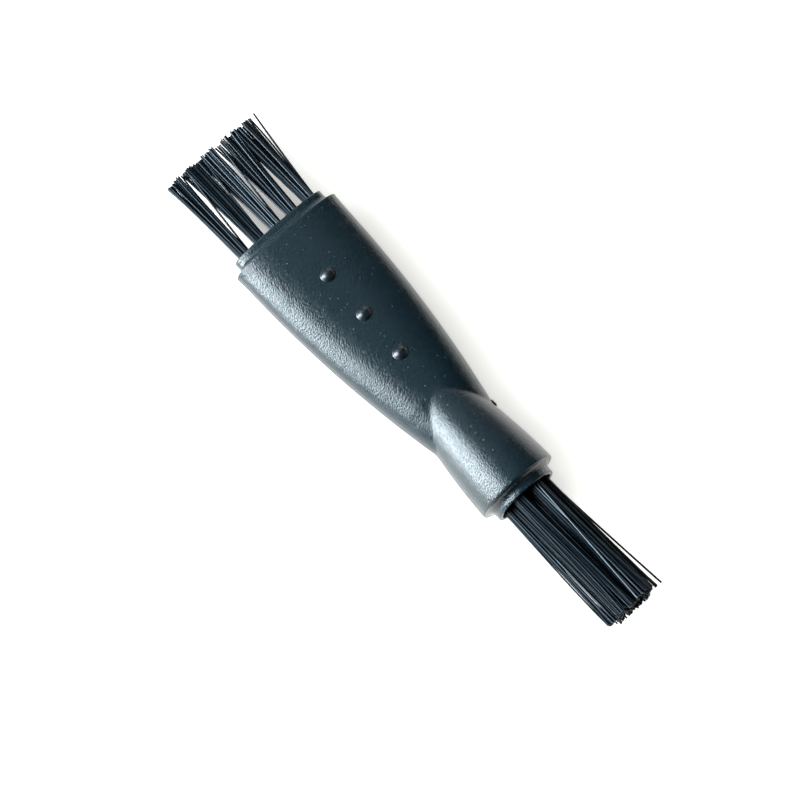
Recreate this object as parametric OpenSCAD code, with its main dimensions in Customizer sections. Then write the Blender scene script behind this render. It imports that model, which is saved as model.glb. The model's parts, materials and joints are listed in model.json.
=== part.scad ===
/* [Overall] */
// Length from one set of bristle tips to the other
overall_l = 90; // [86:0.5:96]
// Free length of the filaments in the wide row
wide_free_l = 14.95; // [12:0.05:17]
// Free length of the filaments in the round bundle
round_free_l = 22; // [19:0.5:25]

/* [Paddle] */
// Width of the paddle just behind its shoulder
paddle_w = 18.4; // [17.6:0.1:19.2]
// Extra width of the lip at the shoulder
lip_w = 0.26; // [0:0.02:0.4]
// Thickness of the paddle at its shoulder
paddle_t = 8; // [7.6:0.1:8.4]
// Thickness of the paddle where the barrel grows out of it
root_t = 8.9; // [8.6:0.1:9.1]
// Width of the handle at its waist
waist_w = 10.94; // [10.6:0.02:11.2]
// Squareness of the section at the shoulder, 2 being an ellipse
shoulder_square = 2.5; // [2.3:0.1:2.9]
// Squareness of the section at the waist
waist_square = 2.1; // [2:0.05:2.2]

/* [Barrel] */
// Diameter of the barrel at its rim
barrel_d = 12.9; // [12.6:0.1:13.2]
// Length of the barrel from the waist to the rim
barrel_l = 11.15; // [10:0.05:12]

/* [Collars] */
// Width of the flat collar that holds the wide row
flat_collar_w = 16.16; // [15.6:0.02:16.6]
// Thickness of the flat collar
flat_collar_t = 5.24; // [5:0.02:5.6]
// Length of the flat collar, with its fillet
flat_collar_l = 1.82; // [1.6:0.02:2.4]
// Diameter of the round collar
round_collar_d = 10.16; // [10:0.02:10.4]
// Length of the round collar, with its fillet
round_collar_l = 1.78; // [1.6:0.02:2.4]
// Diameter of the recess inside the round collar
recess_d = 9; // [8.8:0.1:9.2]
// Depth of that recess
recess_l = 1.5; // [0.8:0.1:2]

/* [Grip dots] */
// Dots in the row on each face
dot_n = 3; // [1:1:3]
// Diameter of a dot
dot_d = 2.16; // [1.6:0.02:2.4]
// How far a dot stands proud
dot_h = 0.65; // [0.4:0.05:0.75]
// Distance between dots
dot_pitch = 7.7; // [6:0.1:8]
// Distance from the face of the flat collar to the first dot
dot_start = 10.9; // [9:0.1:12]

/* [Tufts] */
// Tufts in the wide row
row_n = 5; // [3:1:5]
// Tufts around the middle one of the round bundle
ring_n = 6; // [4:1:6]
// Distance between neighbouring tufts
tuft_pitch = 3.1; // [3.05:0.01:3.15]
// Diameter of a tuft hole
hole_d = 2.15; // [2:0.05:2.2]
// Depth of a tuft hole
hole_l = 6; // [5:0.5:7]
// Diameter that a tuft of the wide row fans out to
row_tip_d = 2.76; // [2.4:0.02:2.9]
// Diameter that a tuft of the round bundle fans out to
ring_tip_d = 2.84; // [2.4:0.02:2.9]

/* [Anchors] */
// Width of an anchor, wider than its hole so that it bites into the walls
anchor_w = 2.6; // [2.4:0.05:2.7]
// Thickness of the anchor strip
anchor_t = 0.3; // [0.2:0.05:0.4]
// Height of an anchor along its hole
anchor_l = 1.6; // [1.2:0.1:2]

/* [Hidden] */
// Depth of folded filaments under an anchor
fold_l = 0.5;
// Gap that keeps a tuft's skin off the wall of its hole
skin_gap = 0.01;
// Rounding of the edges of the lip, the rim and both collars
edge_r = 0.15;
// Concave fillets at the foot of the flat and the round collar
flat_fillet_r = 0.9;
round_fillet_r = 1;
// Distance over which the lip dies away
lip_fade = 1.2;
// Powers of the plan curve of the paddle and of the barrel
paddle_power = 2.1;
barrel_power = 1.6;
// The paddle is thickest this far before the waist, and then thins at this rate
crest_l = 6.35;
crest_fall = 0.16;
// How far the barrel's nose and the paddle's root reach inside each other
nose_l = 9.35;
root_l = 2.7;
// The gate's stub on the side of the waist, as length, height and thickness, and how
// far it reaches past the waist
gate = [1.25, 0.25, 0.6];
gate_past = 0.35;

// Places along +X, the middle of the length being the origin
x_flat_face = -overall_l / 2 + wide_free_l;
x_shoulder = x_flat_face + flat_collar_l;
x_round_face = overall_l / 2 - round_free_l;
x_rim = x_round_face - round_collar_l;
x_waist = x_rim - barrel_l;
x_floor = x_round_face - recess_l;
paddle_l = x_waist - x_shoulder;
x_tips = overall_l / 2;

// Points around a section of the paddle, sections along it, steps of an arc
around = 40;
along = 20;
arc = 4;
$fn = 64;

// Width, thickness and squareness of the paddle at a distance s behind its shoulder
function width_at(s) = paddle_w - (paddle_w - waist_w) * pow(s / paddle_l, paddle_power)
    + lip_w * exp(-s / lip_fade);
function thick_at(s) = let (crest = paddle_l - crest_l)
    paddle_t + (root_t - paddle_t) * sin(90 * min(1, s / crest))
    - crest_fall * max(0, s - crest);
function square_at(s) = shoulder_square
    + (waist_square - shoulder_square) * min(1, s / paddle_l);

// Radius of the barrel at a place along X
function barrel_r_at(x) = barrel_d / 2
    - (barrel_d - waist_w) / 2 * pow(max(0, x_rim - x) / barrel_l, barrel_power);

// Sections of the paddle as [x, width, thickness, squareness]
function inset_section(x, d) =
    [x, width_at(0) - 2 * d, paddle_t - 2 * d, shoulder_square];
function collar_section(x, d) =
    [x, flat_collar_w - 2 * d, flat_collar_t - 2 * d, shoulder_square];
function body_section(s) = [x_shoulder + s, width_at(s), thick_at(s), square_at(s)];

sections = concat(
    [collar_section(x_flat_face, edge_r), collar_section(x_flat_face + edge_r, 0)],
    [for (i = [0:arc]) let (a = 90 * i / arc)
        collar_section(x_shoulder - flat_fillet_r * (1 - sin(a)),
            -flat_fillet_r * (1 - cos(a)))],
    [inset_section(x_shoulder, edge_r)],
    [for (i = [0:along]) body_section(
        edge_r + (paddle_l + root_l - edge_r) * i / along)]
);

// One point of a superellipse, by its angle
function bulge(v, n) = sign(v) * pow(abs(v), 2 / n);
function section_points(s) = [for (i = [0:around - 1]) let (a = 360 * i / around)
    [s[0], s[1] / 2 * bulge(cos(a), s[3]), s[2] / 2 * bulge(sin(a), s[3])]];

// Centres of the tufts across the handle, as [y, z]
row_places = [for (i = [0:row_n - 1]) [(i - (row_n - 1) / 2) * tuft_pitch, 0]];
ring_places = concat([[0, 0]], [for (i = [0:ring_n - 1]) let (a = 360 * i / ring_n)
    [tuft_pitch * cos(a), tuft_pitch * sin(a)]]);

// Runs its children along +X from a place on a tuft's axis
module on_axis(x, place) translate([x, place[0], place[1]]) rotate([0, 90, 0]) children();

// Sets its children at the mouth of the tuft holes: the round bundle's point to +X
// and the wide row's, turned end for end, to -X
module at_round_end() translate([x_floor, 0, 0]) children();
module at_wide_end() translate([x_flat_face, 0, 0]) mirror([1, 0, 0]) children();

// A closed solid through rings of equally many points
module loft(rings) {
    n = len(rings[0]);
    last = len(rings) - 1;
    points = [for (r = rings) each r];
    sides = [for (j = [0:last - 1], i = [0:n - 1]) let (k = (i + 1) % n) each [
        [j * n + i, (j + 1) * n + k, j * n + k],
        [j * n + i, (j + 1) * n + i, (j + 1) * n + k]]];
    first_cap = [for (i = [0:n - 1]) i];
    last_cap = [for (i = [0:n - 1]) last * n + n - 1 - i];
    polyhedron(points, concat([first_cap], sides, [last_cap]));
}

module paddle() loft([for (s = sections) section_points(s)]);

// The barrel, its collar and the recess in it, turned about the X axis
module barrel() {
    nose_x = x_waist - nose_l;
    steps = 24;
    side = [for (i = [0:steps]) let (x = nose_x + (x_rim - edge_r - nose_x) * i / steps)
        [barrel_r_at(x), x]];
    fillet = [for (i = [0:arc]) let (a = 90 * i / arc)
        [round_collar_d / 2 + round_fillet_r * (1 - sin(a)),
            x_rim + round_fillet_r * (1 - cos(a))]];
    rotate([0, 90, 0]) rotate_extrude() polygon(concat(
        [[0, nose_x]], side,
        [[barrel_d / 2 - edge_r, x_rim]], fillet,
        [[round_collar_d / 2, x_round_face - edge_r],
            [round_collar_d / 2 - edge_r, x_round_face],
            [recess_d / 2, x_round_face],
            [recess_d / 2, x_floor],
            [0, x_floor]]));
}

// A grip dot: the crown of a ball sunk in one face of the paddle
module dot(i) {
    x = x_flat_face + dot_start + i * dot_pitch;
    top = thick_at(x - x_shoulder) / 2 + dot_h;
    ball_r = (pow(dot_d / 2, 2) + pow(dot_h, 2)) / (2 * dot_h);
    translate([x, 0, top - ball_r]) sphere(r = ball_r);
}

module grip_dots() for (i = [0:dot_n - 1], way = [0, 180]) rotate([way, 0, 0]) dot(i);

// The cut end of the runner that filled the mould
module gate_stub() translate([x_waist + gate_past - gate[0], 0, -gate[2] / 2])
    cube([gate[0], width_at(paddle_l - gate[0]) / 2 + gate[1], gate[2]]);

// The space of an anchor in the hole whose mouth is at the origin, along -X
module anchor_space(place)
    translate([-hole_l + fold_l, place[0] - anchor_t / 2, place[1] - anchor_w / 2])
        cube([anchor_l, anchor_t, anchor_w]);

// The holes for a set of tufts, with the cuts that their anchors bite
module tuft_holes(places) for (p = places) {
    on_axis(-hole_l, p) cylinder(d = hole_d, h = hole_l + 1);
    anchor_space(p);
}

// One tuft from the fold under its anchor to the cut tips
module tuft(place, free_l, tip_d) {
    root_d = hole_d - 2 * skin_gap;
    difference() {
        union() {
            on_axis(-hole_l + skin_gap, place) cylinder(d = root_d, h = hole_l - skin_gap);
            on_axis(0, place) cylinder(d1 = root_d, d2 = tip_d, h = free_l);
        }
        anchor_space(place);
    }
}

module handle() color("#26343b") difference() {
    union() {
        paddle();
        barrel();
        grip_dots();
        gate_stub();
    }
    at_wide_end() tuft_holes(row_places);
    at_round_end() tuft_holes(ring_places);
}

module wide_tuft(i) color("#1d2023")
    at_wide_end() tuft(row_places[i], wide_free_l, row_tip_d);

module wide_anchor(i) color("#b9b6ad")
    at_wide_end() anchor_space(row_places[i]);

module round_tuft(i) color("#1d2023")
    at_round_end() tuft(ring_places[i], x_tips - x_floor, ring_tip_d);

module round_anchor(i) color("#b9b6ad")
    at_round_end() anchor_space(ring_places[i]);

handle();
for (i = [1:row_n]) {
    wide_tuft(i - 1);
    wide_anchor(i - 1);
}
for (i = [1:ring_n + 1]) {
    round_tuft(i - 1);
    round_anchor(i - 1);
}
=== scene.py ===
import json
import math

import bmesh
import bpy
import numpy as np
from mathutils import Matrix, Vector


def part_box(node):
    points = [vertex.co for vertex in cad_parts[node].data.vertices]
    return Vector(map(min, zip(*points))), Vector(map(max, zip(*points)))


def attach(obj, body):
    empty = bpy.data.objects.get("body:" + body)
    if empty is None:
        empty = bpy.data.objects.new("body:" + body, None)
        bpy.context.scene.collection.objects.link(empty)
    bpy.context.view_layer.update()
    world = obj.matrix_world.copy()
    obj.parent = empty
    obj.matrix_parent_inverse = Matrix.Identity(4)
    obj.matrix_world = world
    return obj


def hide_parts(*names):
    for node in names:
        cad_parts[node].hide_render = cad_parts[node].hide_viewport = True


MM = 0.001
ROOT = "root"

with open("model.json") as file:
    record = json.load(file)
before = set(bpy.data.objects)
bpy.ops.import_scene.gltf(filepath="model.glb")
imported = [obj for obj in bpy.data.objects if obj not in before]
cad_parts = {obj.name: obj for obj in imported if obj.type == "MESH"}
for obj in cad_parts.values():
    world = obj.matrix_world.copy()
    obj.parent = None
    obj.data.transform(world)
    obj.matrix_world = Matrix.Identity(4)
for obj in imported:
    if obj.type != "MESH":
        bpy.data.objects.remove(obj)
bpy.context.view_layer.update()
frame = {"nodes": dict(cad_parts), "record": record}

# ---------------------------------------------------------------- sizes
# Lengths are in millimetres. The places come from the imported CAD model.


def span(node):
    """Lowest and highest corner of a CAD node, in millimetres."""
    low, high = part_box(node)
    return np.array(low) / MM, np.array(high) / MM


handle_low, handle_high = span("handle")
collar_mount = next(m for m in frame["record"]["mounts"] if m["name"] == "round_collar")

X_FLAT_FACE = handle_low[0]
X_ROUND_FACE = handle_high[0]
BARREL_R = handle_high[2]
COLLAR_R = collar_mount["dims"]["r_mm"]

FLAT_COLLAR = (8.08, 2.62)
FLAT_COLLAR_L = 1.82
FLAT_FILLET = 0.9
ROUND_COLLAR_L = 1.78
ROUND_FILLET = 1.0
RECESS_R = 4.5
RECESS_L = 1.5
RECESS_EDGE_R = 0.08
BARREL_L = 11.15
EDGE_R = 0.15

X_SHOULDER = X_FLAT_FACE + FLAT_COLLAR_L
X_RIM = X_ROUND_FACE - ROUND_COLLAR_L
X_WAIST = X_RIM - BARREL_L
X_FLOOR = X_ROUND_FACE - RECESS_L
PADDLE_L = X_WAIST - X_SHOULDER

PADDLE_HALF_W = 9.2
WAIST_R = 5.47
PADDLE_HALF_T = 4.0
ROOT_HALF_T = 4.45
CREST = PADDLE_L - 6.35
CREST_FALL = 0.08
LIP = 0.13
LIP_FADE = 1.2
SHOULDER_SQUARE = 2.5
WAIST_SQUARE = 2.1
PADDLE_POWER = 2.1
BARREL_POWER = 1.6
CREASE_R = 0.12
CREASE_BACK = 7.5
CREASE_PAST = 1.2
FLASH_H = 0.035
FLASH_HALF_T = 0.07

DOT_R = 1.08
DOT_H = 0.65
DOT_FOOT = 0.1
DOT_SUNK = 0.3
DOT_SKIRT = 0.03
DOT_START = 10.9
DOT_PITCH = 7.7
DOT_COUNT = 3

GATE_L = 1.25
GATE_T = 0.6
GATE_PAST = 0.35
GATE_SUNK = 0.2
GATE_RISE = 0.28
GATE_DIP = 0.06
GATE_ROUGH = 0.03

HOLE_R = 1.075
HOLE_L = 6.0
FILAMENT_R = 0.135
STRAY_R = 0.155

SHARP = math.radians(38)


# ---------------------------------------------------------------- small helpers


def new_object(name, mesh, material, smooth=True):
    obj = bpy.data.objects.new(name, mesh)
    bpy.context.scene.collection.objects.link(obj)
    mesh.materials.append(material)
    mesh.polygons.foreach_set("use_smooth", [smooth] * len(mesh.polygons))
    return obj


def mesh_from(name, points, faces):
    """A mesh of points in millimetres."""
    mesh = bpy.data.meshes.new(name)
    mesh.from_pydata((np.asarray(points) * MM).tolist(), [], faces)
    mesh.validate()
    return mesh


def grid_faces(rings, around):
    """Quads between rings that close on themselves."""
    faces = []
    for j in range(rings - 1):
        for i in range(around):
            k = (i + 1) % around
            a, b = j * around, (j + 1) * around
            faces.append((a + i, a + k, b + k, b + i))
    return faces


def stand_in(obj, node):
    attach(obj, ROOT)
    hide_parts(node)


# ---------------------------------------------------------------- node graphs


class Graph:
    """A material's node tree, built by short calls."""

    def __init__(self, name):
        self.material = bpy.data.materials.new(name)
        self.material.use_nodes = True
        self.tree = self.material.node_tree
        self.shader = self.tree.nodes["Principled BSDF"]

    def node(self, kind, **values):
        made = self.tree.nodes.new(kind)
        for key, value in values.items():
            setattr(made, key, value)
        return made

    def link(self, source, target):
        self.tree.links.new(source, target)

    def place(self):
        """Coordinates of the surface in millimetres."""
        coords = self.node("ShaderNodeTexCoord")
        scale = self.node("ShaderNodeMapping")
        scale.inputs["Scale"].default_value = (1 / MM,) * 3
        self.link(coords.outputs["Object"], scale.inputs["Vector"])
        return scale.outputs["Vector"]

    def noise(self, vector, scale, detail=2.0, rough=0.5):
        made = self.node("ShaderNodeTexNoise")
        made.inputs["Scale"].default_value = scale
        made.inputs["Detail"].default_value = detail
        made.inputs["Roughness"].default_value = rough
        self.link(vector, made.inputs["Vector"])
        return made.outputs["Fac"]

    def voronoi(self, vector, scale):
        made = self.node("ShaderNodeTexVoronoi")
        made.inputs["Scale"].default_value = scale
        self.link(vector, made.inputs["Vector"])
        return made

    def cells(self, vector, scale):
        """Distance to the middle of the nearest cell."""
        return self.voronoi(vector, scale).outputs["Distance"]

    def specks(self, vector, scale):
        """Sparse dots: the middles of some of the cells that the surface cuts through."""
        made = self.voronoi(vector, scale)
        middle = self.remap(made.outputs["Distance"], 0.06, 0.11, 1, 0)
        chosen = self.remap(made.outputs["Color"], 0.56, 0.62, 0, 1)
        return self.maths("MULTIPLY", middle, chosen)

    def remap(self, value, low, high, to_low, to_high):
        made = self.node("ShaderNodeMapRange")
        for key, number in zip(
            ("From Min", "From Max", "To Min", "To Max"), (low, high, to_low, to_high)
        ):
            made.inputs[key].default_value = number
        self.link(value, made.inputs["Value"])
        return made.outputs["Result"]

    def maths(self, operation, a, b):
        made = self.node("ShaderNodeMath", operation=operation)
        for socket, value in zip(made.inputs, (a, b)):
            if isinstance(value, (int, float)):
                socket.default_value = value
            else:
                self.link(value, socket)
        return made.outputs["Value"]

    def mix(self, factor, a, b):
        made = self.node("ShaderNodeMix", data_type="RGBA")
        self.link(factor, made.inputs["Factor"])
        for socket, value in zip((made.inputs[6], made.inputs[7]), (a, b)):
            if isinstance(value, tuple):
                socket.default_value = (*value, 1.0)
            else:
                self.link(value, socket)
        return made.outputs[2]

    def bump(self, height, distance, strength=1.0):
        """A bumped normal, with the distance in millimetres."""
        made = self.node("ShaderNodeBump")
        made.inputs["Strength"].default_value = strength
        made.inputs["Distance"].default_value = distance * MM
        self.link(height, made.inputs["Height"])
        return made.outputs["Normal"]


# ---------------------------------------------------------------- materials


def handle_plastic():
    """Blue-black polypropylene from a spark-eroded mould, with sparse light specks painted into its
    colour as glints.
    """
    g = Graph("handle_plastic")
    at = g.place()
    grain = g.noise(at, 4.7, detail=2.0, rough=0.55)
    pits = g.cells(at, 4.1)
    patches = g.noise(at, 0.22, detail=2.0)
    patchy = g.remap(patches, 0.3, 0.7, 0, 1)
    shade = g.mix(patchy, (0.0042, 0.0145, 0.0205), (0.0055, 0.0168, 0.0232))
    # Painted glints: sparse light specks mixed into the base colour.
    shade_with_painted_glints = g.mix(g.specks(at, 1.6), shade, (0.16, 0.20, 0.22))
    g.link(shade_with_painted_glints, g.shader.inputs["Base Color"])
    rough = g.maths("ADD", g.remap(grain, 0.3, 0.7, 0.12, 0.17), g.remap(patches, 0.3, 0.7, 0, 0.04))
    g.link(rough, g.shader.inputs["Roughness"])
    height = g.maths("ADD", grain, g.maths("MULTIPLY", pits, 0.6))
    g.link(g.bump(height, 0.052, 1.0), g.shader.inputs["Normal"])
    g.shader.inputs["Specular IOR Level"].default_value = 0.55
    return g.material


def polished_plastic():
    """The grip dots: the same plastic from a polished part of the mould."""
    g = Graph("grip_dot_plastic")
    at = g.place()
    smear = g.noise(at, 1.6, detail=2.0)
    g.link(
        g.mix(smear, (0.0020, 0.0070, 0.0110), (0.0032, 0.0090, 0.0140)),
        g.shader.inputs["Base Color"],
    )
    g.link(g.remap(smear, 0.3, 0.7, 0.30, 0.37), g.shader.inputs["Roughness"])
    g.link(g.bump(g.noise(at, 1.6, detail=1.0), 0.01, 0.4), g.shader.inputs["Normal"])
    g.shader.inputs["Specular IOR Level"].default_value = 0.7
    return g.material


def torn_plastic_painted_shade():
    """The gate stub, where the moulding was torn off its runner, coloured darker than torn plastic
    with painted shade for the shadow it sits in.
    """
    g = Graph("torn_plastic_painted_shade")
    at = g.place()
    fibres = g.noise(at, 6.0, detail=3.0)
    # Painted shade: darker than the torn plastic itself, for the shadow the stub sits in.
    shade = g.mix(fibres, (0.0015, 0.0030, 0.0040), (0.0035, 0.0060, 0.0080))
    g.link(shade, g.shader.inputs["Base Color"])
    g.link(g.remap(fibres, 0.3, 0.7, 0.45, 0.65), g.shader.inputs["Roughness"])
    g.link(g.bump(fibres, 0.05, 0.8), g.shader.inputs["Normal"])
    g.shader.inputs["Specular IOR Level"].default_value = 0.3
    return g.material


def bristle_nylon():
    """Black nylon filament, each with its own shade and sheen."""
    g = Graph("bristle_nylon")
    at = g.place()
    sheen = g.node("ShaderNodeAttribute", attribute_name="sheen").outputs["Fac"]
    shade = g.mix(sheen, (0.0009, 0.0048, 0.0085), (0.0026, 0.0105, 0.0175))
    g.link(shade, g.shader.inputs["Base Color"])
    streaks = g.noise(at, 0.7, detail=1.0)
    rough = g.maths("ADD", g.remap(sheen, 0, 1, 0.42, 0.36), g.remap(streaks, 0.3, 0.7, 0, 0.05))
    g.link(rough, g.shader.inputs["Roughness"])
    g.link(g.bump(streaks, 0.02, 0.3), g.shader.inputs["Normal"])
    g.link(g.remap(sheen, 0, 1, 0.12, 1.0), g.shader.inputs["Specular IOR Level"])
    g.shader.inputs["Specular Tint"].default_value = (0.78, 0.90, 1.0, 1.0)
    return g.material


def anchor_metal():
    """Drawn nickel silver strip."""
    g = Graph("anchor_metal")
    at = g.place()
    stretch = g.node("ShaderNodeMapping")
    stretch.inputs["Scale"].default_value = (0.6, 12.0, 12.0)
    g.link(at, stretch.inputs["Vector"])
    lines = g.noise(stretch.outputs["Vector"], 1.5, detail=3.0)
    g.link(g.mix(lines, (0.5, 0.48, 0.44), (0.7, 0.68, 0.63)), g.shader.inputs["Base Color"])
    g.link(g.remap(lines, 0.3, 0.7, 0.24, 0.42), g.shader.inputs["Roughness"])
    g.link(g.bump(lines, 0.01, 0.4), g.shader.inputs["Normal"])
    g.shader.inputs["Metallic"].default_value = 1.0
    return g.material


# ---------------------------------------------------------------- the handle


def paddle_section(s):
    """Half width, half thickness and squareness of the paddle, s behind the shoulder."""
    width = PADDLE_HALF_W - (PADDLE_HALF_W - WAIST_R) * (s / PADDLE_L) ** PADDLE_POWER
    width += LIP * math.exp(-s / LIP_FADE)
    rise = math.sin(math.pi / 2 * min(1.0, s / CREST))
    thick = PADDLE_HALF_T + (ROOT_HALF_T - PADDLE_HALF_T) * rise
    thick -= CREST_FALL * max(0.0, s - CREST)
    square = SHOULDER_SQUARE + (WAIST_SQUARE - SHOULDER_SQUARE) * min(1.0, s / PADDLE_L)
    return width, thick, square


def barrel_radius(x):
    back = max(0.0, X_RIM - x) / BARREL_L
    return BARREL_R - (BARREL_R - WAIST_R) * back ** BARREL_POWER


def superellipse(angle, width, thick, square):
    """Distance from the axis to a superellipse, at polar angles."""
    across = np.abs(np.cos(angle) / width) ** square
    up = np.abs(np.sin(angle) / thick) ** square
    return (across + up) ** (-1 / square)


def smooth_max(a, b, blend):
    """The larger of two distances, with a small fillet where they cross."""
    near = np.maximum(blend - np.abs(a - b), 0) / blend
    return np.maximum(a, b) + near * near * blend / 4


def ring_steps(count=240, seam=math.radians(0.6)):
    """Steps round a section, with extra ones beside the parting line."""
    steps = list(np.arange(count) * 2 * math.pi / count)
    steps += [seam, 2 * math.pi - seam, math.pi - seam, math.pi + seam]
    return np.array(sorted(steps))


SECTION_STEPS = ring_steps()


def section_angles(width, thick):
    """Polar angles that crowd where a flat section turns its corners."""
    return np.arctan2(thick * np.sin(SECTION_STEPS), width * np.cos(SECTION_STEPS))


def ring(x, width, thick, square):
    """One ring of points on a superellipse."""
    angle = section_angles(width, thick)
    radius = superellipse(angle, width, thick, square)
    radius = radius + parting_ridge(radius * np.sin(angle))
    return np.stack([np.full_like(angle, x), radius * np.cos(angle), radius * np.sin(angle)], 1)


def parting_ridge(z):
    """Fine flash where the two halves of the mould met."""
    return FLASH_H * np.maximum(0, 1 - np.abs(z) / FLASH_HALF_T)


def flat_end_rings():
    """The oval collar, its fillet and the lip of the shoulder."""
    w, t = FLAT_COLLAR
    made = []
    for a in np.radians((0, 30, 60, 90)):
        cut = EDGE_R * (1 - math.sin(a))
        made.append((X_FLAT_FACE + EDGE_R * (1 - math.cos(a)), w - cut, t - cut))
    straight = X_SHOULDER - FLAT_FILLET
    for x in np.linspace(X_FLAT_FACE + 0.3, straight - 0.1, 4):
        made.append((x, w, t))
    for a in np.radians(np.linspace(0, 90, 10)):
        grow = FLAT_FILLET * (1 - math.cos(a))
        made.append((straight + FLAT_FILLET * math.sin(a), w + grow, t + grow))
    lip_w, lip_t, _ = paddle_section(0.0)
    for a in np.radians((0, 30, 60, 90)):
        cut = EDGE_R * (1 - math.sin(a))
        made.append((X_SHOULDER + EDGE_R * (1 - math.cos(a)), lip_w - cut, lip_t - cut))
    return [ring(x, w, t, SHOULDER_SQUARE) for x, w, t in made]


def body_rings():
    """Paddle, waist and barrel as one skin."""
    x_crease, x_past = X_WAIST - CREASE_BACK, X_WAIST + CREASE_PAST
    places = np.concatenate([
        np.linspace(X_SHOULDER + EDGE_R + 0.2, x_crease, 64)[:-1],
        np.linspace(x_crease, x_past, 80)[:-1],
        np.linspace(x_past, X_RIM - EDGE_R, 26),
    ])
    made = []
    for x in places:
        width, thick, square = paddle_section(x - X_SHOULDER)
        size = barrel_radius(x)
        made.append(union_ring(x, width, thick, square, size))
    return made


def union_ring(x, width, thick, square, size):
    """A section through both the paddle and the barrel."""
    outer_w, outer_t = max(width, size), max(thick, size)
    angle = section_angles(outer_w, outer_t)
    radius = smooth_max(superellipse(angle, width, thick, square), np.full_like(angle, size), CREASE_R)
    radius = radius + parting_ridge(radius * np.sin(angle))
    return np.stack([np.full_like(angle, x), radius * np.cos(angle), radius * np.sin(angle)], 1)


def round_end_rings():
    """The barrel's rim, the fillet, the round collar and the recess inside it."""
    made = []
    for a in np.radians((30, 60, 90)):
        made.append((X_RIM - EDGE_R * (1 - math.sin(a)), BARREL_R - EDGE_R * (1 - math.cos(a))))
    foot = COLLAR_R + ROUND_FILLET
    for a in np.radians(np.linspace(0, 90, 12)):
        made.append((X_RIM + ROUND_FILLET * (1 - math.cos(a)), foot - ROUND_FILLET * math.sin(a)))
    made.append((X_ROUND_FACE - 0.4, COLLAR_R))
    for a in np.radians((0, 30, 60, 90)):
        cut = EDGE_R * (1 - math.cos(a))
        made.append((X_ROUND_FACE - EDGE_R * (1 - math.sin(a)), COLLAR_R - cut))
    for a in np.radians((0, 45, 90)):
        cut = RECESS_EDGE_R * (1 - math.sin(a))
        made.append((X_ROUND_FACE - RECESS_EDGE_R * (1 - math.cos(a)), RECESS_R + cut))
    made.append((X_FLOOR + 0.1, RECESS_R))
    made.append((X_FLOOR, RECESS_R - 0.1))
    return [round_ring(x, r) for x, r in made]


def round_ring(x, radius):
    angle = SECTION_STEPS
    return np.stack([np.full_like(angle, x), radius * np.cos(angle), radius * np.sin(angle)], 1)


def handle_mesh():
    """The handle as one closed skin, with flat ends that the tuft holes are cut in."""
    rings = flat_end_rings() + body_rings() + round_end_rings()
    around = len(SECTION_STEPS)
    points = np.concatenate(rings)
    faces = grid_faces(len(rings), around)
    last = (len(rings) - 1) * around
    faces.append(tuple(reversed(range(around))))
    faces.append(tuple(last + i for i in range(around)))
    return mesh_from("handle_shell", points, faces)


def tuft_places():
    """Name and centre of every tuft across the handle, in millimetres, by its end."""
    found = {}
    for node in sorted(frame["nodes"]):
        if "_tuft_" in node:
            low, high = span(node)
            found[node] = ((low[1] + high[1]) / 2, (low[2] + high[2]) / 2)
    return found


TUFTS = tuft_places()


def drill(handle):
    """Cuts the tuft holes and the slots that the anchors bite into the walls."""
    bm = bmesh.new()
    for node, (y, z) in TUFTS.items():
        way = -1 if node.startswith("wide") else 1
        mouth = X_FLAT_FACE if way < 0 else X_FLOOR
        turn = Matrix.Rotation(math.pi / 2, 4, "Y")
        centre = Vector((mouth - way * (HOLE_L - 1) / 2, y, z)) * MM
        bmesh.ops.create_cone(
            bm, cap_ends=True, segments=48, radius1=HOLE_R * MM, radius2=HOLE_R * MM,
            depth=(HOLE_L + 1) * MM, matrix=Matrix.Translation(centre) @ turn,
        )
    for node in frame["nodes"]:
        if "_anchor_" in node:
            low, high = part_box(node)
            at = Matrix.Translation((low + high) / 2)
            size = Matrix.Diagonal((*(high - low), 1.0))
            bmesh.ops.create_cube(bm, size=1.0, matrix=at @ size)
    cutter_mesh = bpy.data.meshes.new("cutter")
    bm.to_mesh(cutter_mesh)
    bm.free()
    cutter = bpy.data.objects.new("cutter", cutter_mesh)
    bpy.context.scene.collection.objects.link(cutter)
    cut = handle.modifiers.new("holes", "BOOLEAN")
    cut.operation = "DIFFERENCE"
    cut.solver = "EXACT"
    cut.use_self = True
    cut.object = cutter
    graph = bpy.context.evaluated_depsgraph_get()
    cut_mesh = bpy.data.meshes.new_from_object(handle.evaluated_get(graph))
    handle.modifiers.clear()
    handle.data = cut_mesh
    bpy.data.objects.remove(cutter)
    bpy.data.meshes.remove(cutter_mesh)


def build_handle(material):
    handle = new_object("handle_shell", handle_mesh(), material)
    drill(handle)
    handle.data.set_sharp_from_angle(angle=SHARP)
    stand_in(handle, "handle")


# ---------------------------------------------------------------- grip dots and gate


def turned_mesh(name, profile, around, centre, way):
    """A closed mesh turned about Z: profile holds radius and height, from foot to crown."""
    turn = np.arange(around) * 2 * math.pi / around
    x, y = centre
    rings = [np.stack([x + r * np.cos(turn), y + way * r * np.sin(turn), np.full(around, way * h)], 1)
             for r, h in profile]
    foot, crown = profile[0][1] * way, profile[-1][1] * way
    points = np.concatenate([*rings, [(x, y, foot)], [(x, y, crown)]])
    faces = grid_faces(len(profile), around)
    last, bottom = (len(profile) - 1) * around, len(profile) * around
    faces += [(last + i, last + (i + 1) % around, bottom + 1) for i in range(around)]
    faces += [((i + 1) % around, i, bottom) for i in range(around)]
    return mesh_from(name, points, faces)


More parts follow.
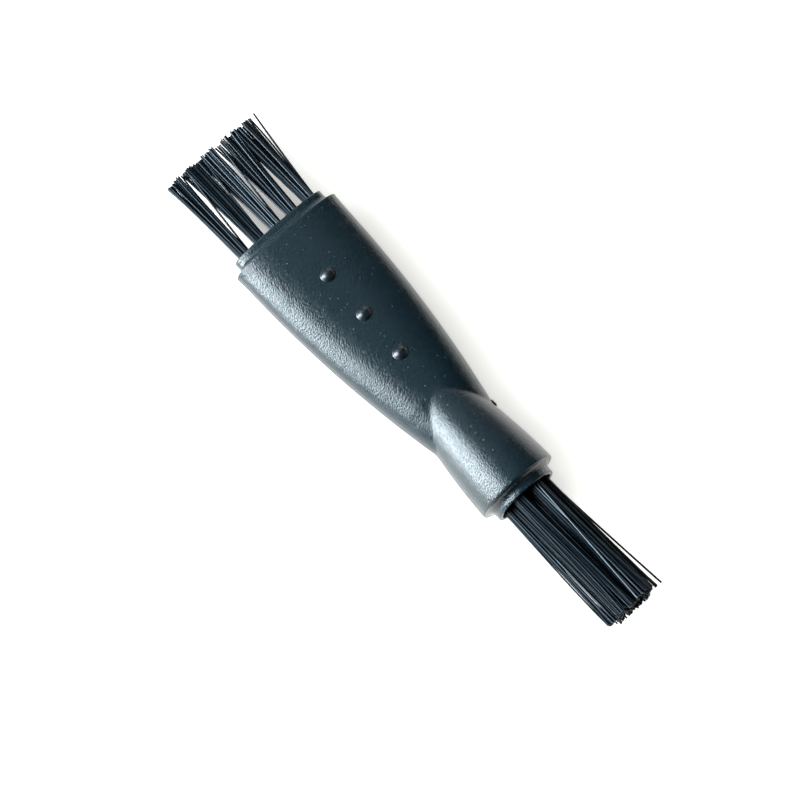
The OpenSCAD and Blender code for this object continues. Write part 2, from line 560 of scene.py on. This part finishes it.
def dot_profile(base):
    """A grip dot: a low dome with a small fillet at its foot."""
    ball = (DOT_R ** 2 + DOT_H ** 2) / (2 * DOT_H)
    edge = math.asin(DOT_R / ball)
    profile = [(DOT_R + DOT_FOOT, base - DOT_SUNK), (DOT_R + DOT_FOOT, base - DOT_SKIRT)]
    profile += [(DOT_R + DOT_FOOT * (1 - math.sin(a)), base + DOT_FOOT * 0.5 * (1 - math.cos(a)))
                for a in np.radians((30, 60))]
    profile += [(ball * math.sin(a), base + DOT_H - ball * (1 - math.cos(a)))
                for a in edge * np.linspace(0.94, 0.04, 18)]
    return profile


def build_dot(index, way, material):
    x = X_FLAT_FACE + DOT_START + index * DOT_PITCH
    thick = paddle_section(x - X_SHOULDER)[1]
    side = "top" if way > 0 else "under"
    name = f"grip_dot_{side}_{index + 1}"
    dot = new_object(name, turned_mesh(name, dot_profile(thick), 64, (x, 0), way), material)
    stand_in(dot, "handle")


def build_gate_stub(material):
    """The torn end of the runner, on the parting line beside the waist."""
    rng = np.random.default_rng(11)
    around = 32
    x, y = X_WAIST + GATE_PAST - GATE_L / 2, paddle_section(PADDLE_L - GATE_L)[0]
    turn = np.arange(around) * 2 * math.pi / around
    rings = []
    for k in np.linspace(0, 1, 6):
        torn = 1 + 0.04 * k * rng.normal(size=around)
        reach = superellipse(turn, GATE_L / 2, GATE_T / 2, 5.0) * (1 - 0.08 * k) * torn
        up = y - GATE_SUNK + GATE_RISE * k + GATE_ROUGH * (k == 1) * rng.normal(size=around)
        rings.append(np.stack([x + reach * np.cos(turn), up, reach * np.sin(turn)], 1))
    foot = y - GATE_SUNK
    points = np.concatenate([*rings, [(x, foot + GATE_RISE - GATE_DIP, 0)], [(x, foot, 0)]])
    faces = [tuple(reversed(f)) for f in grid_faces(len(rings), around)]
    last, top = (len(rings) - 1) * around, len(rings) * around
    faces += [(last + (i + 1) % around, last + i, top) for i in range(around)]
    faces += [(i, (i + 1) % around, top + 1) for i in range(around)]
    stub = new_object("gate_stub", mesh_from("gate_stub", points, faces), material)
    stub.data.set_sharp_from_angle(angle=SHARP)
    stand_in(stub, "handle")


# ---------------------------------------------------------------- bristles

SIDES = 7
PITCH = 2.05 * FILAMENT_R
ANCHOR_CLEAR = 0.285
ANCHOR_TOP = 2.1
FOLD_ROOM = 0.5
FOLD_DEPTH = 0.38
CLUMPS = 7
TIP_ROOM = 0.1


def tube(path, radius, sides, rng):
    """A closed tube along a path, with its faces numbered from 0."""
    path = np.asarray(path)
    along = np.gradient(path, axis=0)
    along /= np.linalg.norm(along, axis=1)[:, None]
    side = np.cross(along, (0.0, 0.05, 1.0))
    side /= np.linalg.norm(side, axis=1)[:, None]
    other = np.cross(along, side)
    turn = np.arange(sides) * 2 * math.pi / sides + rng.uniform(0, 1)
    points = path[:, None] + radius * (np.cos(turn)[None, :, None] * side[:, None]
                                       + np.sin(turn)[None, :, None] * other[:, None])
    faces = grid_faces(len(path), sides)
    faces.append(tuple(reversed(range(sides))))
    last = (len(path) - 1) * sides
    faces.append(tuple(last + i for i in range(sides)))
    return points.reshape(-1, 3), faces


def packed_pairs(radius):
    """Places of filaments side by side in a hole, as pairs that one folded filament fills."""
    row = PITCH * math.sin(math.pi / 3)
    reach = int(radius / row) + 1
    found = []
    for j in range(-reach, reach + 1):
        shift = 0.5 if j % 2 == 0 else 1.0
        y = shift * PITCH
        while math.hypot(y, j * row) <= radius:
            found.append((y, j * row))
            y += PITCH
    return np.array(found)


def fold(y, z):
    """The hidden part of a folded filament: down beside the anchor, under it and up again."""
    side = ANCHOR_CLEAR + (HOLE_R - FILAMENT_R - ANCHOR_CLEAR) * abs(y) / (HOLE_R - FILAMENT_R)
    side = min(side, math.sqrt(max((HOLE_R - FILAMENT_R) ** 2 - z * z, ANCHOR_CLEAR ** 2)))
    turn = -HOLE_L + FOLD_ROOM
    depth = FOLD_DEPTH * side / (HOLE_R - FILAMENT_R)
    down = [(-HOLE_L * 0.35, y, z), (-HOLE_L + ANCHOR_TOP, side, z), (turn, side, z)]
    under = [(turn - depth * math.sin(a), side * math.cos(a), z)
             for a in np.radians((45, 90, 135))]
    up = [(x, -v, w) for x, v, w in reversed(down)]
    return np.array(down + under + up)


class Tuft:
    """How the filaments of one tuft fan out from their hole to their cut ends.

    The tips lean and spread across the tuft. They also stray by clump, all the filaments of a
    clump alike, by loose, each on its own, and by uneven, in their length.
    """

    def __init__(self, seed, lean, spread, clump, loose, uneven):
        self.rng = np.random.default_rng(seed)
        self.lean, self.spread = np.array(lean), np.array(spread)
        self.loose, self.uneven = loose, uneven
        turn = np.arange(CLUMPS) * 2 * math.pi / CLUMPS + self.rng.uniform(0, 1, CLUMPS)
        reach = self.rng.uniform(0.3, 0.95, CLUMPS)
        self.centres = np.stack([reach * np.cos(turn), reach * np.sin(turn)], 1)
        self.pull = self.rng.normal(0, clump, (CLUMPS, 2))
        self.longer = self.rng.normal(0, uneven, CLUMPS)

    def free_run(self, base, length, steps):
        """One filament from the mouth of the hole to its cut end."""
        clump = np.argmin(np.linalg.norm(self.centres - base, axis=1))
        loose = self.rng.normal(0, self.loose, 2)
        tip = np.array(base) * self.spread + self.lean + self.pull[clump] + loose
        cut = length + self.longer[clump] + self.rng.normal(0, self.uneven / 2)
        bow = self.rng.normal(0, self.loose, 2)
        return bowed(base, tip, cut, bow, steps)


def bowed(base, tip, length, bow, steps):
    """A line from base to tip that flares a little and bows sideways by bow two thirds along."""
    s = np.linspace(0, 1, steps + 1)[:, None]
    start, end = np.array([0.0, *base]), np.array([length, *tip])
    flare = s ** 1.15
    line = start + (end - start) * np.concatenate([s, flare, flare], 1)
    hump = s * s * (1 - s) * 6.75
    return line + np.array([0.0, *bow]) * hump


def tuft_mesh(name, tuft, length, origin, way, steps, strays):
    """All the filaments of one tuft, each folded once under its anchor."""
    pairs = packed_pairs(HOLE_R - FILAMENT_R)
    ends = {}
    for base, tip, extra, gloss in strays:
        near = np.linalg.norm(np.abs(pairs) - np.abs(base), axis=1)
        same_side = pairs[:, 1] * base[1] >= 0
        number = int(np.argmin(near + 9 * ~same_side))
        ends[number, base[0] > 0] = (tip, extra, gloss)
    points, faces, sheen, count = [], [], [], 0
    for number, (y, z) in enumerate(pairs):
        halves, thick, shine = [], FILAMENT_R, tuft.rng.random() ** 2.5
        for base, right in (((y, z), True), ((-y, z), False)):
            run = tuft.free_run(base, length, steps)
            if (number, right) in ends:
                tip, extra, shine = ends[number, right]
                thick = STRAY_R
                run = bowed(base, tip, length + extra, (0, 0), steps)
            halves.append(run)
        path = np.concatenate([halves[0][::-1], fold(y, z), halves[1]])
        tube_points, tube_faces = tube(path * (way, 1, 1) + origin, thick, SIDES, tuft.rng)
        points.append(tube_points)
        faces += [tuple(count + i for i in f) for f in tube_faces]
        sheen += [shine] * len(tube_points)
        count += len(tube_points)
    mesh = mesh_from(name, np.concatenate(points), faces)
    mesh.attributes.new("sheen", "FLOAT", "POINT").data.foreach_set("value", sheen)
    mesh.set_sharp_from_angle(angle=math.radians(60))
    return mesh


# How far the tips of each wide tuft lean across the row
WIDE_LEAN = {1: -0.34, 2: -0.21, 3: -0.18, 4: 0.12, 5: 0.0}

# Filaments that have sprung out of line: where they start and end in their tuft, by how much
# they are longer than the rest, and their sheen
STRAYS = {
    "wide_tuft_5": [((0.93, 0.1), (2.52, 0.15), 0.1, 0.1)],
    "wide_tuft_4": [((-0.8, 0.3), (-1.95, 0.5), -0.2, 0.9)],
    "wide_tuft_3": [((0.9, 0.4), (1.9, 0.6), -0.3, 0.8)],
    "wide_tuft_2": [((-0.9, 0.2), (-1.9, 0.2), -0.2, 0.5), ((0.8, 0.4), (1.8, 0.6), -0.5, 0.3)],
    "wide_tuft_1": [((0.9, 0.3), (2.0, 0.5), -0.4, 0.4)],
    "round_tuft_2": [((0.95, 0.0), (2.63, 0.1), 0.1, 0.1)],
    "round_tuft_3": [((0.3, 0.9), (-0.55, 1.6), 0.0, 1.0)],
}


def build_wide_tufts(material):
    for number, lean in WIDE_LEAN.items():
        node = f"wide_tuft_{number}"
        tuft = Tuft(100 + number, lean=(lean, 0.0), spread=(1.62, 1.3),
                    clump=0.27, loose=0.07, uneven=0.13)
        length = X_FLAT_FACE - span(node)[0][0] - TIP_ROOM
        name = f"wide_bristles_{number}"
        mesh = tuft_mesh(name, tuft, length, (X_FLAT_FACE, *TUFTS[node]), -1, 10,
                         STRAYS.get(node, ()))
        stand_in(new_object(name, mesh, material), node)


def build_round_tufts(material):
    for number in range(1, 8):
        node = f"round_tuft_{number}"
        y, z = TUFTS[node]
        tuft = Tuft(200 + number, lean=(0.55 - 0.03 * y, -0.03 * z), spread=(1.55, 1.5),
                    clump=0.22, loose=0.1, uneven=0.2)
        length = span(node)[1][0] - X_FLOOR - TIP_ROOM
        name = f"round_bristles_{number}"
        mesh = tuft_mesh(name, tuft, length, (X_FLOOR, y, z), 1, 12, STRAYS.get(node, ()))
        stand_in(new_object(name, mesh, material), node)


# ---------------------------------------------------------------- stage

VIEW_AZIMUTH = 48.06
VIEW_ELEVATION = 75.9
VIEW_DISTANCE = 1008 * MM
LENS = 319.0
AIM_OFFSET = (-2.56, -2.97)


def direction(azimuth, elevation):
    """Unit vector from the object towards a viewer or a lamp at these angles."""
    a, e = math.radians(azimuth), math.radians(elevation)
    return Vector((math.sin(a) * math.cos(e), -math.cos(a) * math.cos(e), math.sin(e)))


def build_camera():
    back = direction(VIEW_AZIMUTH, VIEW_ELEVATION)
    a = math.radians(VIEW_AZIMUTH)
    right = Vector((math.cos(a), math.sin(a), 0))
    up = back.cross(right)
    data = bpy.data.cameras.new("camera")
    data.lens, data.sensor_width = LENS, 36.0
    data.clip_start, data.clip_end = 0.05, 20.0
    camera = bpy.data.objects.new("camera", data)
    camera.location = back * VIEW_DISTANCE + (right * AIM_OFFSET[0] + up * AIM_OFFSET[1]) * MM
    camera.rotation_mode = "QUATERNION"
    camera.rotation_quaternion = (-back).to_track_quat("-Z", "Y")
    bpy.context.scene.collection.objects.link(camera)
    bpy.context.scene.camera = camera


# Softboxes: name, azimuth, elevation, width and height in metres, and power. A tall window
# on the left gives the long highlights, and the fills only lift the shadows.
LAMP_DISTANCE = 0.8
COOL = (0.89, 1.0, 1.06)
LAMPS = [
    ("window_low", -25, 10, 0.35, 0.14, 9.0),
    ("window_middle", -25, 34, 0.45, 0.28, 10.0),
    ("window_top", -25, 54, 0.35, 0.14, 1.2),
    ("window_high", -60, 38, 0.7, 0.3, 1.9),
    ("window_end", -105, 58, 0.4, 0.35, 0.6),
    ("fill_end", 135, 48, 0.8, 0.6, 0.3),
    ("fill_back", 225, 22, 0.4, 0.3, 0.7),
]


def build_lamp(name, azimuth, elevation, width, height, power):
    data = bpy.data.lights.new(name, "AREA")
    data.shape = "RECTANGLE"
    data.size, data.size_y = width, height
    data.energy, data.color = power, COOL
    lamp = bpy.data.objects.new(name, data)
    toward = direction(azimuth, elevation)
    lamp.location = toward * LAMP_DISTANCE
    lamp.rotation_mode = "QUATERNION"
    lamp.rotation_quaternion = toward.to_track_quat("Z", "Y")
    bpy.context.scene.collection.objects.link(lamp)


FLOOR_HALF_W = 4000.0


def build_floor():
    """A pale table top that the barrel and the dots under the paddle lie on. Its glow stands
    for the even light round it, so it is dimmer where the brush covers it."""
    g = Graph("floor")
    at = g.place()
    shade = g.mix(g.noise(at, 0.02, detail=2.0), (0.93, 0.85, 0.79), (0.95, 0.87, 0.81))
    g.link(shade, g.shader.inputs["Base Color"])
    g.shader.inputs["Roughness"].default_value = 0.4
    g.shader.inputs["Specular IOR Level"].default_value = 0.5
    g.shader.inputs["Emission Color"].default_value = (1.0, 0.99, 0.95, 1.0)
    # Painted shadow: the glow fades where the brush stands over the floor or close beside it.
    open_sky = g.node("ShaderNodeAmbientOcclusion", samples=12)
    open_sky.inputs["Distance"].default_value = 7 * MM
    g.link(g.remap(open_sky.outputs["AO"], 0, 1, -0.05, 0.93), g.shader.inputs["Emission Strength"])
    x_dot = X_FLAT_FACE + DOT_START
    z_dot = -paddle_section(x_dot - X_SHOULDER)[1] - DOT_H
    slope = math.atan2(BARREL_R + z_dot, X_RIM - x_dot)
    half = FLOOR_HALF_W
    points = [(-half, -half, 0), (half, -half, 0), (half, half, 0), (-half, half, 0)]
    floor = new_object("floor", mesh_from("floor", points, [(0, 1, 2, 3)]), g.material, False)
    floor.rotation_euler = (0, slope, 0)
    floor.location = Vector((X_RIM, 0, -BARREL_R - 0.02)) * MM


def build_world():
    world = bpy.data.worlds.new("studio")
    world.use_nodes = True
    back = world.node_tree.nodes["Background"]
    back.inputs["Color"].default_value = (0.7, 0.9, 1.0, 1.0)
    back.inputs["Strength"].default_value = 0.02
    bpy.context.scene.world = world


# ---------------------------------------------------------------- everything

build_camera()
build_world()
build_floor()
for lamp in LAMPS:
    build_lamp(*lamp)
plastic = handle_plastic()
build_handle(plastic)
dot_finish = polished_plastic()
for way in (1, -1):
    for index in range(DOT_COUNT):
        build_dot(index, way, dot_finish)
build_gate_stub(torn_plastic_painted_shade())
nylon = bristle_nylon()
build_wide_tufts(nylon)
build_round_tufts(nylon)
metal = anchor_metal()
for name, obj in frame["nodes"].items():
    if "_anchor_" in name:
        obj.material_slots[0].material = metal

scene = bpy.context.scene
scene.view_settings.view_transform = "Standard"
scene.view_settings.look = "None"
